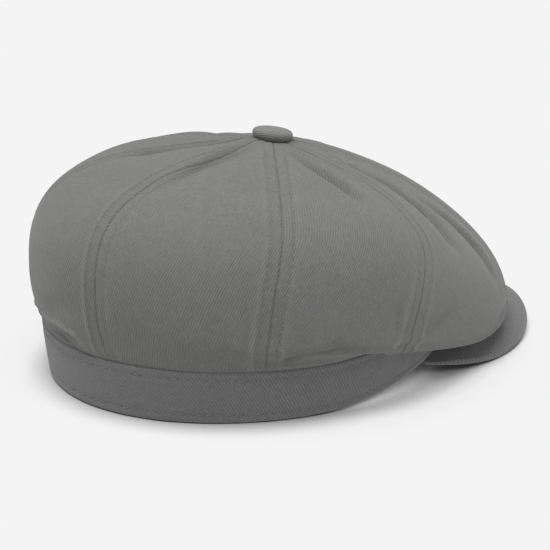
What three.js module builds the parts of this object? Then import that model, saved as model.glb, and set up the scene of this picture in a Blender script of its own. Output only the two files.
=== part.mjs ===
// Flat cap of eight cloth panels with a covered button, a standing head band and a stiff peak.
//
// Millimetres, +Z up, standing on z = 0. The peak points along -Y and the wearer's left side is +X.
// The middle of the cap's own bounding box lies over the origin, so the cap stands at its origin.
// Angles round the cap are in degrees from the front: 90 is the wearer's right, 180 the back.
import * as THREE from 'three';

// Head band
const HEAD_LENGTH = 200; // outside length of the band's foot, front to back
const HEAD_WIDTH = 170; // outside width of the band's foot
const BAND_HEIGHT = 26.3; // foot to crown seam
const BAND_WALL = 2.6; // doubled cloth
const BAND_LEAN_ENDS = 2.2; // how far the top leans out at front and back
const BAND_LEAN_SIDES = 7.1; // how far the top leans out at the sides
const FRONT_LIFT = 17.7; // how far the band's foot rises over the peak at the front
const LIFT_REACH = 104.5; // angle where the foot has come down to the surface

// Crown
const CROWN_TOP = 106.6; // height of the point where the panels meet
const CROWN_SHIFT = 12.2; // how far that point lies ahead of the band's middle
const CROWN_OVERHANG = 35; // how far the fullest line stands out over the band at the front
const CROWN_DROOP = 10.6; // how far the cloth pulls straight down from the widest line in front
const PANEL_WALL = 1.5; // cloth with its seam allowance
const PANEL_TIP = 2.5; // radius of the small round where the eight tips meet
const SEAM_DIP = 1.1; // depth of the hollow along each seam
const SEAM_DIP_WIDTH = 9; // half width of that hollow
const FOLD_DEPTH = 3.4; // depth of the deepest fold
const FOLD_SPREAD = 12; // half width of the widest fold

// Peak
const PEAK_LENGTH = 56.5; // from the band's foot forward to the rim
const PEAK_TEMPLE = 53; // angle where each end of the peak runs under the band
const PEAK_THICK = 3.2; // board and two layers of cloth
const PEAK_END_THICK = 1.5; // at its two ends, where the board stops and the cloth is sewn flat
const PEAK_BELLY = 1.13; // how much the rim swings out between the ends and the front
const PEAK_CREST = 5.5; // how far the middle of the rim stands over its resting sides
const PEAK_ARCH = 1; // how far the top of the peak bulges over a straight slope
const PEAK_REST = 72; // turn round the rim, from the front, where the crest has come down
const PEAK_CLIMB = 60; // turn where the rim starts to climb to the band's foot
const PEAK_TAPER = 72; // turn where the peak starts to grow thinner

// Button
const BUTTON_RADIUS = 9.7;
const BUTTON_EDGE = 2; // height of the upright edge
const BUTTON_DOME = 2.2; // rise of the dome over the edge
const BUTTON_NOD = 8; // degrees that the button leans to the front

// Clearance between pieces that are sewn together
const SEAM_GAP = 0.35;

// Sections of the crown by angle from the front. overhang is a share of CROWN_OVERHANG and rise a
// share of the height from the band's foot to CROWN_TOP: together they place the widest line. droop is
// a share of CROWN_DROOP and curl a share of BAND_HEIGHT: how far the cloth dips on its way from the
// widest line and, below zero, how far it comes up from under the band's top.
const crownSections = [
  { angle: 0, overhang: 1, rise: 0, droop: 1, curl: -0.8 },
  { angle: 45, overhang: 0.55, rise: 0.08, droop: 0.7, curl: -0.9 },
  { angle: 90, overhang: 0.3, rise: 0.32, droop: 0.7, curl: 0.1 },
  { angle: 135, overhang: 0.15, rise: 0.42, droop: 0.85, curl: 0.3 },
  { angle: 180, overhang: 0.15, rise: 0.56, droop: 1.1, curl: 0.1 },
];

// Shape of each section. slope is the fall beside the button in degrees, crest and shoulder say how
// full the cloth is before and at the widest line, and tuck, a share of the overhang, how late it
// turns in to the band.
const crownProfiles = [
  { angle: 0, slope: 8, crest: 0.5, shoulder: 0.35, tuck: 0.25 },
  { angle: 90, slope: 7.5, crest: 0.7, shoulder: 0.85, tuck: 0.25 },
  { angle: 180, slope: -1, crest: 0.65, shoulder: 0.85, tuck: 0.25 },
];

// Seams on the wearer's right, front to back: the angle at which each leaves the button, the angle it
// has come to under the widest line and the angle at which it reaches the band. The left side mirrors
// them. A seam turns from the first angle to the second over the stretch of the crown in SEAM_TURN,
// with 0 at the button, 1 at the widest line and 2 at the band.
const seams = [
  { leaves: 25, under: 25, lands: 23 },
  { leaves: 70, under: 84, lands: 81 },
  { leaves: 117, under: 121, lands: 115 },
  { leaves: 162, under: 161, lands: 157 },
];
const SEAM_TURN = { from: 0.6, to: 1.1 };
const SEAM_DIP_FADE = { start: 0.25, from: 0.9, to: 1.4 }; // where the hollow along a seam fades in and out

// Folds and dents. angle is where the fold lies, turn how far it swings by its end, from and to its
// stretch down the crown with 1 at the widest line and 2 at the band, wide a share of FOLD_SPREAD and
// deep a share of FOLD_DEPTH.
const folds = [
  { angle: 92, turn: -6, from: 0.04, to: 0.5, wide: 0.42, deep: 0.4 },
  { angle: 153, turn: 4, from: 0.06, to: 0.55, wide: 0.45, deep: 0.35 },
  { angle: 190, turn: 6, from: 0.05, to: 0.5, wide: 0.45, deep: 0.45 },
  { angle: 53, turn: 1, from: 0.12, to: 0.85, wide: 0.5, deep: 0.5 },
  { angle: 42, turn: -9, from: 0.3, to: 0.98, wide: 0.5, deep: 0.5 },
  { angle: 97, turn: -16, from: 1.3, to: 1.9, wide: 1.1, deep: 0.3 },
  { angle: 168, turn: 16, from: 1.1, to: 1.7, wide: 1.0, deep: 0.4 },
  { angle: -96, turn: 7, from: 0.04, to: 0.52, wide: 0.42, deep: 0.4 },
  { angle: -149, turn: -5, from: 0.06, to: 0.55, wide: 0.45, deep: 0.35 },
  { angle: -56, turn: -2, from: 0.12, to: 0.85, wide: 0.5, deep: 0.5 },
  { angle: -38, turn: 6, from: 0.3, to: 0.98, wide: 0.5, deep: 0.45 },
  { angle: -104, turn: 12, from: 1.3, to: 1.9, wide: 1.1, deep: 0.3 },
];

// Shape of the peak's rim: how full its plan is, how narrow the crest at its middle
const RIM_FULLNESS = 1.08;
const CREST_POWER = 3.2;
const CLIMB_POWER = 1.3; // how late the rim's ends climb

const rad = THREE.MathUtils.degToRad;
const smooth = (x) => THREE.MathUtils.smoothstep(x, 0, 1);

// A value at any angle from a table of equally spaced rows over the half turn, even left and right:
// the cosine series that passes through every row.
function aroundTable(rows, column) {
  const last = rows.length - 1;
  const half = (i) => (i === 0 || i === last ? 0.5 : 1);
  const terms = rows.map((_, k) => {
    const sum = rows.reduce((s, row, j) => s + half(j) * row[column] * Math.cos((Math.PI * k * j) / last), 0);
    return (2 * half(k) * sum) / last;
  });
  return (angle) => terms.reduce((s, term, k) => s + term * Math.cos(k * rad(angle)), 0);
}

const section = {};
for (const name of ['overhang', 'rise', 'droop', 'curl']) section[name] = aroundTable(crownSections, name);
for (const name of ['slope', 'crest', 'shoulder', 'tuck']) section[name] = aroundTable(crownProfiles, name);

const heading = (angle) => new THREE.Vector2(-Math.sin(rad(angle)), -Math.cos(rad(angle)));
const wrap = (angle) => THREE.MathUtils.euclideanModulo(angle + 180, 360) - 180;

// Height of the band's foot over the surface
const footLift = (angle) => FRONT_LIFT * smooth((LIFT_REACH - Math.abs(angle)) / LIFT_REACH);

// Point of an oval ring of the given half length and half width
function ovalPoint(halfLength, halfWidth, angle, height) {
  const way = heading(angle);
  const r = 1 / Math.hypot(way.y / halfLength, way.x / halfWidth);
  return new THREE.Vector3(r * way.x, r * way.y, height);
}

// Outer face of the band at a share of its height, moved inwards by inset
function bandPoint(angle, share, inset) {
  return ovalPoint(
    HEAD_LENGTH / 2 + BAND_LEAN_ENDS * share - inset,
    HEAD_WIDTH / 2 + BAND_LEAN_SIDES * share - inset,
    angle,
    footLift(angle) + BAND_HEIGHT * share,
  );
}

// Distance from the crown's middle to the band's top ring, one way out
function ringReach(angle) {
  const a = HEAD_LENGTH / 2 + BAND_LEAN_ENDS;
  const b = HEAD_WIDTH / 2 + BAND_LEAN_SIDES;
  const way = heading(angle);
  const p = (way.x / b) ** 2 + (way.y / a) ** 2;
  const q = (-CROWN_SHIFT * way.y) / a ** 2;
  const c = (CROWN_SHIFT / a) ** 2 - 1;
  return (-q + Math.sqrt(q * q - p * c)) / p;
}

// The angle at the band that a panel's line reaches, between the seams that bound it
function landing(angle) {
  const turn = wrap(angle);
  const size = Math.abs(turn);
  const stops = [{ under: 0, lands: 0 }, ...seams, { under: 180, lands: 180 }];
  const next = Math.max(1, stops.findIndex((stop) => stop.under >= size));
  const low = stops[next - 1];
  const high = stops[next];
  const share = (size - low.under) / (high.under - low.under);
  return Math.sign(turn) * (low.lands + share * (high.lands - low.lands));
}

const bezier = (t, p0, p1, p2, p3) =>
  (1 - t) ** 3 * p0 + 3 * (1 - t) ** 2 * t * p1 + 3 * (1 - t) * t * t * p2 + t ** 3 * p3;

// Smooth crown without folds. down runs 0 at the middle, 1 at the widest line and 2 at the band.
function crownBase(down, angle) {
  const way = heading(angle);
  const foot = footLift(wrap(angle));
  const reach = ringReach(angle) + section.overhang(angle) * CROWN_OVERHANG;
  const wideHeight = foot + section.rise(angle) * (CROWN_TOP - foot);
  const widest = new THREE.Vector3(way.x * reach, way.y * reach - CROWN_SHIFT, wideHeight);
  if (down <= 1) {
    const crest = section.crest(angle);
    const fall = crest * Math.tan(rad(section.slope(angle))) * reach;
    const full = wideHeight + section.shoulder(angle) * (CROWN_TOP - wideHeight);
    const out = bezier(down, 0, crest, 1, 1) * reach;
    const height = bezier(down, CROWN_TOP, CROWN_TOP - fall, full, wideHeight);
    return new THREE.Vector3(way.x * out, way.y * out - CROWN_SHIFT, height);
  }
  const t = down - 1;
  const seat = bandPoint(landing(angle), 1, -SEAM_GAP);
  seat.z += SEAM_GAP;
  const inward = bezier(t, 0, 0, 1 - section.tuck(angle), 1);
  const low = wideHeight - section.droop(angle) * CROWN_DROOP;
  const curl = seat.z + section.curl(angle) * BAND_HEIGHT;
  const point = widest.clone().lerp(seat, inward);
  point.z = bezier(t, wideHeight, low, curl, seat.z);
  return point;
}

// Outward direction of the smooth crown
function crownNormal(down, angle) {
  const step = 0.01;
  const before = Math.max(down - step, step);
  const after = Math.min(down + step, 2);
  const along = crownBase(after, angle).sub(crownBase(before, angle));
  const across = crownBase(down, angle + 1).sub(crownBase(down, angle - 1));
  return across.cross(along).normalize();
}

// Angle in degrees that a distance along the crown takes up at one place
function angleOf(distance, down, angle) {
  const spot = crownBase(down, angle);
  return THREE.MathUtils.radToDeg(distance / Math.hypot(spot.x, spot.y + CROWN_SHIFT));
}

// Angle of a seam at one place down the crown
function seamAngle(seam, down) {
  const share = smooth((down - SEAM_TURN.from) / (SEAM_TURN.to - SEAM_TURN.from));
  return THREE.MathUtils.lerp(seam.leaves, seam.under, share);
}

// How far the folds and the seams draw the cloth in
function foldDepth(down, angle) {
  const spot = crownBase(down, angle);
  const out = Math.hypot(spot.x, spot.y + CROWN_SHIFT);
  const arc = (from) => rad(wrap(angle - from)) * out;
  let depth = 0;
  for (const fold of folds) {
    const share = (down - fold.from) / (fold.to - fold.from);
    if (share <= 0 || share >= 1) continue;
    const swell = Math.sin(Math.PI * share) ** 2;
    const offset = arc(fold.angle + fold.turn * share) / (fold.wide * FOLD_SPREAD);
    depth += FOLD_DEPTH * fold.deep * swell * Math.exp(-offset * offset);
  }
  const { start, from, to } = SEAM_DIP_FADE;
  const fade = smooth(down / start) * smooth((to - down) / (to - from));
  for (const seam of seams) {
    for (const side of [-1, 1]) {
      const offset = arc(side * seamAngle(seam, down)) / SEAM_DIP_WIDTH;
      depth += SEAM_DIP * fade * Math.exp(-offset * offset);
    }
  }
  return depth;
}

// Makes one closed mesh from rings of points. Each ring is one closed loop, joined to the next, and the
// first and last rings are filled by strips between their two halves, or joined when the loop closes.
function solidFromRings(rings, closes) {
  const count = rings[0].length;
  const points = rings.flat();
  const faces = [];
  const quad = (a, b, c, d) => faces.push(a, b, c, a, c, d);
  const last = closes ? rings.length : rings.length - 1;
  for (let i = 0; i < last; i += 1) {
    const next = (i + 1) % rings.length;
    for (let j = 0; j < count; j += 1) {
      const k = (j + 1) % count;
      quad(i * count + j, next * count + j, next * count + k, i * count + k);
    }
  }
  if (!closes) {
    const end = (rings.length - 1) * count;
    for (let j = 0; j < count / 2 - 1; j += 1) {
      quad(j, j + 1, count - 2 - j, count - 1 - j);
      quad(end + j, end + count - 1 - j, end + count - 2 - j, end + j + 1);
    }
  }
  const geometry = new THREE.BufferGeometry();
  const numbers = points.flatMap((p) => [p.x, p.y, p.z]);
  geometry.setAttribute('position', new THREE.Float32BufferAttribute(numbers, 3));
  geometry.setIndex(faces);
  geometry.computeVertexNormals();
  return geometry;
}

// Shares that crowd towards both ends, where the seams lie
const CROWDING = 0.11;
function crowded(count) {
  return Array.from({ length: count + 1 }, (_, i) => {
    const t = i / count;
    return t - CROWDING * Math.sin(2 * Math.PI * t);
  });
}

// One wedge of the crown from seam to seam, as a wall of cloth. left and right give each seam's angle
// down the crown. Towards a seam the wall's thickness turns into the seam's own plane, so that
// neighbours stand face to face.
const PANEL_COLUMNS = 10;
const CREST_ROWS = 11;
const TUCK_ROWS = 10;
const CREST_SPACING = 1.15; // over 1 the rows lie closer at the button
const TUCK_SPACING = 1.15; // over 1 the rows lie closer at the widest line
const SQUARING = 4; // how late, towards a seam, the wall turns into its plane
function panelGeometry(left, right) {
  const downs = [];
  for (let i = 0; i <= CREST_ROWS; i += 1) downs.push((i / CREST_ROWS) ** CREST_SPACING);
  for (let i = 1; i <= TUCK_ROWS; i += 1) downs.push(1 + (i / TUCK_ROWS) ** TUCK_SPACING);
  const middle = (left(0) + right(0)) / 2;
  const reach = crownBase(1, middle).setZ(0).add(new THREE.Vector3(0, CROWN_SHIFT, 0)).length();
  downs[0] = PANEL_TIP / (3 * section.crest(middle) * reach);
  const rings = downs.map((down) => {
    const margin = angleOf(SEAM_GAP / 2, down, (left(down) + right(down)) / 2);
    const wall = crowded(PANEL_COLUMNS).map((share) => {
      const angle = THREE.MathUtils.lerp(left(down), right(down), share);
      const clear = THREE.MathUtils.lerp(left(down) + margin, right(down) - margin, share);
      const normal = crownNormal(down, angle);
      const side = new THREE.Vector3(Math.cos(rad(angle)), -Math.sin(rad(angle)), 0);
      const square = (2 * share - 1) ** SQUARING;
      normal.addScaledVector(side, -square * normal.dot(side)).normalize();
      const face = crownBase(down, clear).addScaledVector(normal, -foldDepth(down, angle));
      return { face, back: face.clone().addScaledVector(normal, -PANEL_WALL) };
    });
    return [...wall.map((p) => p.back), ...wall.map((p) => p.face).reverse()];
  });
  return solidFromRings(rings, false);
}

// The head band: a closed strip whose foot rests on the surface behind and rises over the peak
const BAND_STEPS = 96;
const BAND_ROWS = [0, 0.35, 0.7, 1];
function bandGeometry() {
  const rings = [];
  for (let i = 0; i < BAND_STEPS; i += 1) {
    const angle = 180 - (360 * i) / BAND_STEPS;
    const outer = BAND_ROWS.map((share) => bandPoint(angle, share, 0));
    const inner = BAND_ROWS.map((share) => bandPoint(angle, share, BAND_WALL)).reverse();
    rings.push([...outer, ...inner]);
  }
  return solidFromRings(rings, true);
}

// How far a turn round the peak's rim has come from the given one to the end, from 0 to 1
const towardsEnd = (turn, from) => Math.max(0, (Math.abs(turn) - from) / (90 - from));

// Thickness of the peak at a turn round its rim
const peakThick = (turn) =>
  THREE.MathUtils.lerp(PEAK_THICK, PEAK_END_THICK, smooth(towardsEnd(turn, PEAK_TAPER)));

// Middle of the peak's rim at a turn from -90 at the left end to 90 at the right end. The rim rests on
// the surface at both sides, rises to a low crest in front and to the band's foot at its ends.
function rimPoint(turn) {
  const end = ovalPoint(HEAD_LENGTH / 2, HEAD_WIDTH / 2, PEAK_TEMPLE, 0);
  const s = Math.sin(rad(turn));
  const c = Math.cos(rad(turn));
  const swing = 1 + (PEAK_BELLY - 1) * Math.sin(2 * Math.abs(rad(turn)));
  const front = -(HEAD_LENGTH / 2 + PEAK_LENGTH);
  const rest = Math.abs(turn) / PEAK_REST;
  const crest = rest < 1 ? PEAK_CREST * Math.cos((Math.PI / 2) * rest) ** CREST_POWER : 0;
  const climb = towardsEnd(turn, PEAK_CLIMB) ** CLIMB_POWER;
  return new THREE.Vector3(
    -Math.sign(s) * Math.abs(s) ** RIM_FULLNESS * Math.abs(end.x) * swing,
    end.y + (front - end.y) * Math.abs(c) ** RIM_FULLNESS,
    peakThick(turn) / 2 + crest + climb * (footLift(PEAK_TEMPLE) - SEAM_GAP - PEAK_END_THICK),
  );
}

// The peak: a stiff crescent that starts under the band's foot and slopes to a rounded rim
const PEAK_STEPS = 40;
const PEAK_ROWS = 7;
const RIM_ROWS = 5;
function peakGeometry() {
  const rings = [];
  for (let i = 0; i <= PEAK_STEPS; i += 1) {
    const turn = THREE.MathUtils.lerp(-90, 90, i / PEAK_STEPS);
    const half = peakThick(turn) / 2;
    const angle = PEAK_TEMPLE * (turn / 90);
    const root = ovalPoint(HEAD_LENGTH / 2 - BAND_WALL, HEAD_WIDTH / 2 - BAND_WALL, angle, 0);
    root.z = footLift(angle) - SEAM_GAP - half;
    const rim = rimPoint(turn);
    const out = rim.clone().sub(root).setZ(0);
    const width = out.length();
    out.divideScalar(width);
    const upper = [];
    const lower = [];
    for (let j = 0; j <= PEAK_ROWS; j += 1) {
      const share = j / PEAK_ROWS;
      const middle = root.clone().addScaledVector(out, share * (width - half));
      middle.z = THREE.MathUtils.lerp(root.z, rim.z, share);
      middle.z += PEAK_ARCH * Math.sin(Math.PI * share) * Math.cos(rad(turn)) ** 2;
      upper.push(middle.clone().setZ(middle.z + half));
      lower.push(middle.clone().setZ(middle.z - half));
    }
    const nose = upper[PEAK_ROWS].clone().lerp(lower[PEAK_ROWS], 0.5);
    const round = [];
    for (let k = 1; k < RIM_ROWS; k += 1) {
      const bend = (Math.PI * k) / RIM_ROWS;
      const point = nose.clone().addScaledVector(out, half * Math.sin(bend));
      point.z += half * Math.cos(bend);
      round.push(point);
    }
    rings.push([...upper, ...round, ...lower.reverse()]);
  }
  return solidFromRings(rings, false);
}

// The button: an upright edge over a small chamfer, and a low dome, turned round its own axis
const BUTTON_SIDES = 32;
const DOME_ROWS = 7;
const CHAMFER_WIDTH = 0.07; // share of the button's radius
const CHAMFER_HEIGHT = 0.4; // share of its edge
function buttonGeometry() {
  const profile = [new THREE.Vector2(0, 0), new THREE.Vector2(BUTTON_RADIUS * (1 - CHAMFER_WIDTH), 0)];
  profile.push(new THREE.Vector2(BUTTON_RADIUS, BUTTON_EDGE * CHAMFER_HEIGHT));
  for (let i = 0; i <= DOME_ROWS; i += 1) {
    const bend = (Math.PI / 2) * (i / DOME_ROWS);
    const radius = i === DOME_ROWS ? 0 : BUTTON_RADIUS * Math.cos(bend);
    profile.push(new THREE.Vector2(radius, BUTTON_EDGE + BUTTON_DOME * Math.sin(bend)));
  }
  const geometry = new THREE.LatheGeometry(profile, BUTTON_SIDES);
  geometry.rotateX(Math.PI / 2);
  return geometry;
}

function cloth(name, color, geometry) {
  const material = new THREE.MeshStandardMaterial({ color, roughness: 0.92, metalness: 0 });
  const mesh = new THREE.Mesh(geometry, material);
  mesh.name = name;
  return mesh;
}

const cap = new THREE.Group();

// Panels are counted from the front one round by the wearer's right, each between two seams
const rightSeams = seams.map((seam) => (down) => seamAngle(seam, down));
const leftSeams = rightSeams.map((seam) => (down) => 360 - seam(down)).reverse();
const bounds = [...rightSeams, ...leftSeams];
bounds.forEach((right, index) => {
  const left = index === 0 ? (down) => -seamAngle(seams[0], down) : bounds[index - 1];
  cap.add(cloth(`crown_panel_${index + 1}`, 0x6f6f6f, panelGeometry(left, right)));
});

cap.add(cloth('band', 0x636363, bandGeometry()));
cap.add(cloth('peak', 0x747474, peakGeometry()));

const button = cloth('button', 0x8e8e8e, buttonGeometry());
button.position.set(0, -CROWN_SHIFT, CROWN_TOP + SEAM_GAP);
button.rotation.x = rad(BUTTON_NOD);
cap.add(button);

// Stand the cap with the middle of its box over the origin
const box = new THREE.Box3().setFromObject(cap);
cap.position.y = -(box.min.y + box.max.y) / 2;

export default cap;
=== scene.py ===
"""Looks of a flat cap: eight twill panels, a covered button, a stitched head band and a stiff peak.

Lengths are millimetres from the middle of the head band's oval until a mesh is made. Angles round the
cap are degrees from the front, with 90 at the wearer's right, 180 at the back and -90 at the left.
"""

from __future__ import annotations

import logging
import math
from dataclasses import dataclass, field
from enum import Enum

import bmesh
import bpy
import numpy as np
from mathutils import Matrix, Vector

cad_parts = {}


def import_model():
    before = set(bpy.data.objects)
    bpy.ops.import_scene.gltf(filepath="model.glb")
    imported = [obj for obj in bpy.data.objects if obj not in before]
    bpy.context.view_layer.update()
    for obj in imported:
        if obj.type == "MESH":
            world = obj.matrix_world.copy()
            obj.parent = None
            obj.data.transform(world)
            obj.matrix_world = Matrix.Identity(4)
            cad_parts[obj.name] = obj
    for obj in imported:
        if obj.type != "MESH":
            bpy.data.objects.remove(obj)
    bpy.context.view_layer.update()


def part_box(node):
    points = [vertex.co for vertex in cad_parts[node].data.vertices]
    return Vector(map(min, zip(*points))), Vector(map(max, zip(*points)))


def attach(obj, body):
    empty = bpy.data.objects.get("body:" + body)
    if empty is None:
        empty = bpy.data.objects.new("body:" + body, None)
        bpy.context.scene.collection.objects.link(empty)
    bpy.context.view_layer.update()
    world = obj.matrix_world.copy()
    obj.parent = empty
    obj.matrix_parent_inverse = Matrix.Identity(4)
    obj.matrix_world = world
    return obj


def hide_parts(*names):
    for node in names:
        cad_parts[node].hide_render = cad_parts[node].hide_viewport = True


LOG = logging.getLogger("flat_cap")

MM = 0.001
BODY = "root"
CLOTH_MAP = "cloth_map"
# Name of the mesh attribute that holds painted light and shade: lighter on ridges, darker in creases and
# seam grooves.
PAINTED_SHADING = "painted_shading"
SHARP_ANGLE = 60.0
JOIN_GAP = 0.001


def smooth(x: np.ndarray) -> np.ndarray:
    """A soft step: 0 below 0, 1 above 1, and 3x^2 - 2x^3 between."""
    t = np.clip(x, 0.0, 1.0)
    return t * t * (3.0 - 2.0 * t)


def bezier(t: np.ndarray, a: np.ndarray, b: np.ndarray, c: np.ndarray, d: np.ndarray) -> np.ndarray:
    """Cubic Bezier value: (1-t)^3 a + 3(1-t)^2 t b + 3(1-t) t^2 c + t^3 d."""
    s = 1.0 - t
    return s**3 * a + 3.0 * s * s * t * b + 3.0 * s * t * t * c + t**3 * d


def unit(vectors: np.ndarray) -> np.ndarray:
    """Each vector divided by its own length."""
    return vectors / np.linalg.norm(vectors, axis=-1, keepdims=True)


def wrap(angle: np.ndarray) -> np.ndarray:
    """Degrees brought into the range from -180 to 180."""
    return (angle + 180.0) % 360.0 - 180.0


def heading(angle: np.ndarray) -> np.ndarray:
    """Level unit vector at an angle from the front: (-sin, -cos)."""
    turn = np.radians(angle)
    return np.stack([-np.sin(turn), -np.cos(turn)], axis=-1)


def level_out(angle: np.ndarray) -> np.ndarray:
    """The heading at an angle as a level direction in space."""
    way = heading(angle)
    return np.concatenate([way, np.zeros_like(way[..., :1])], axis=-1)


def run_length(points: np.ndarray) -> np.ndarray:
    """Distance along the first axis of a grid of points: the running sum of its steps."""
    steps = np.linalg.norm(np.diff(points, axis=0), axis=-1)
    return np.concatenate([np.zeros_like(steps[:1]), np.cumsum(steps, axis=0)])


def around(rows: tuple[float, ...], angle: np.ndarray) -> np.ndarray:
    """A value at any angle from rows at equal steps over the half turn, even left and right.

    It is the cosine series that passes through every row: the sum over k of c_k cos(k angle), with
    each c_k the weighted sum of the rows times cos(pi k j / last), the end rows and terms halved.

    Args:
        rows: the values at the front, at each step and at the back.
        angle: degrees from the front.

    Returns:
        The values at those angles.
    """
    last = len(rows) - 1
    k = np.arange(last + 1)
    half = np.where((k == 0) | (k == last), 0.5, 1.0)
    terms = 2.0 * half / last * (np.cos(np.pi * np.outer(k, k) / last) @ (half * np.array(rows)))
    return np.tensordot(terms, np.cos(np.multiply.outer(k, np.radians(angle))), axes=1)


@dataclass(frozen=True)
class Bell:
    """A bell curve across a line, with its height and half width in millimetres or as a share."""

    height: float
    wide: float

    def at(self, distance: np.ndarray) -> np.ndarray:
        """The curve's value at distances from its middle: height times exp(-(distance / wide)^2)."""
        return self.height * np.exp(-((distance / self.wide) ** 2))


@dataclass(frozen=True)
class Growth:
    """A share that grows towards the band: its value far off, how much it gains and over what length."""

    far: float
    gain: float
    reach: float

    def at(self, to_foot: np.ndarray) -> np.ndarray:
        """The share at lengths left to the band: far plus gain times a soft step."""
        return self.far + self.gain * smooth((self.reach - to_foot) / self.reach)


@dataclass(frozen=True)
class CapForm:
    """Sizes of the cap's main form, the same as its construction model's."""

    head_length: float = 200.0
    head_width: float = 170.0
    band_height: float = 26.3
    band_wall: float = 2.6
    lean_ends: float = 2.2
    lean_sides: float = 7.1
    front_lift: float = 17.7
    lift_reach: float = 104.5
    crown_top: float = 106.6
    crown_shift: float = 12.2
    crown_overhang: float = 35.0
    crown_droop: float = 10.6
    panel_wall: float = 1.5
    panel_tip: float = 2.5
    seam_dip: float = 1.1
    seam_dip_width: float = 9.0
    fold_depth: float = 3.4
    fold_spread: float = 12.0
    peak_length: float = 56.5
    peak_temple: float = 53.0
    peak_thick: float = 3.2
    peak_end_thick: float = 1.5
    peak_belly: float = 1.13
    peak_crest: float = 5.5
    peak_arch: float = 1.0
    peak_rest: float = 72.0
    peak_climb: float = 60.0
    peak_taper: float = 72.0
    rim_fullness: float = 1.08
    crest_power: float = 3.2
    climb_power: float = 1.3
    button_radius: float = 9.7
    button_edge: float = 2.0
    button_dome: float = 2.2
    button_nod: float = 8.0
    seam_gap: float = 0.35
    overhang: tuple[float, ...] = (1.0, 0.55, 0.3, 0.15, 0.15)
    rise: tuple[float, ...] = (0.0, 0.08, 0.32, 0.42, 0.56)
    droop: tuple[float, ...] = (1.0, 0.7, 0.7, 0.85, 1.1)
    curl: tuple[float, ...] = (-0.8, -0.9, 0.1, 0.3, 0.1)
    slope: tuple[float, ...] = (8.0, 7.5, -1.0)
    crest: tuple[float, ...] = (0.5, 0.7, 0.65)
    shoulder: tuple[float, ...] = (0.35, 0.85, 0.85)
    tuck: tuple[float, ...] = (0.25, 0.25, 0.25)
    leaves: tuple[float, ...] = (25.0, 70.0, 117.0, 162.0)
    under: tuple[float, ...] = (25.0, 84.0, 121.0, 161.0)
    lands: tuple[float, ...] = (23.0, 81.0, 115.0, 157.0)
    seam_turn: tuple[float, float] = (0.6, 1.1)
    dip_start: float = 0.25
    dip_fade: tuple[float, float] = (0.9, 1.4)
    normal_step: float = 0.01

    def seam_angles(self, down: np.ndarray) -> np.ndarray:
        """Angles of all eight seams at places down the crown.

        Each runs at one angle from the button, and turns by a soft step to another under the widest
        line. The left side mirrors the right.

        Args:
            down: 0 at the middle, 1 at the widest line, 2 at the band.

        Returns:
            The angles along a new last axis, from the front's right seam round by the back.
        """
        start, stop = self.seam_turn
        share = smooth((np.asarray(down) - start) / (stop - start))[..., None]
        right = np.array(self.leaves) * (1.0 - share) + np.array(self.under) * share
        return np.concatenate([right, 360.0 - right[..., ::-1]], axis=-1)

    def foot_lift(self, angle: np.ndarray) -> np.ndarray:
        """Height of the band's foot: full over the peak and nothing past the lift's reach."""
        return self.front_lift * smooth((self.lift_reach - np.abs(wrap(angle))) / self.lift_reach)

    def oval(self, half_length: np.ndarray, half_width: np.ndarray, angle: np.ndarray,
             height: np.ndarray) -> np.ndarray:
        """Point of an oval ring: the heading times 1 / hypot(y / half length, x / half width).

        Args:
            half_length: half the oval's length, front to back.
            half_width: half its width.
            angle: degrees from the front.
            height: height over the floor.

        Returns:
            The points, as x, y, z.
        """
        way = heading(angle)
        radius = 1.0 / np.hypot(way[..., 1] / half_length, way[..., 0] / half_width)
        flat = way * radius[..., None]
        return np.concatenate([flat, np.broadcast_to(height, radius.shape)[..., None]], axis=-1)

    def band_point(self, angle: np.ndarray, share: np.ndarray, inset: np.ndarray) -> np.ndarray:
        """Outer face of the band: an oval that leans out as it rises.

        Args:
            angle: degrees from the front.
            share: share of the band's height, 0 at its foot.
            inset: how far inside the outer face.

        Returns:
            The points, as x, y, z.
        """
        return self.oval(
            self.head_length / 2 + self.lean_ends * share - inset,
            self.head_width / 2 + self.lean_sides * share - inset,
            angle,
            self.foot_lift(angle) + self.band_height * share,
        )

    def ring_reach(self, angle: np.ndarray) -> np.ndarray:
        """Distance from the crown's middle to the band's top oval: the root of its quadratic."""
        a = self.head_length / 2 + self.lean_ends
        b = self.head_width / 2 + self.lean_sides
        way = heading(angle)
        p = (way[..., 0] / b) ** 2 + (way[..., 1] / a) ** 2
        q = -self.crown_shift * way[..., 1] / a**2
        c = (self.crown_shift / a) ** 2 - 1.0
        return (-q + np.sqrt(q * q - p * c)) / p

    def landing(self, angle: np.ndarray) -> np.ndarray:
        """Angle at the band that a panel's line reaches, in proportion between its two seams."""
        turn = wrap(angle)
        under = (0.0, *self.under, 180.0)
        lands = (0.0, *self.lands, 180.0)
        return np.sign(turn) * np.interp(np.abs(turn), under, lands)

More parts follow.
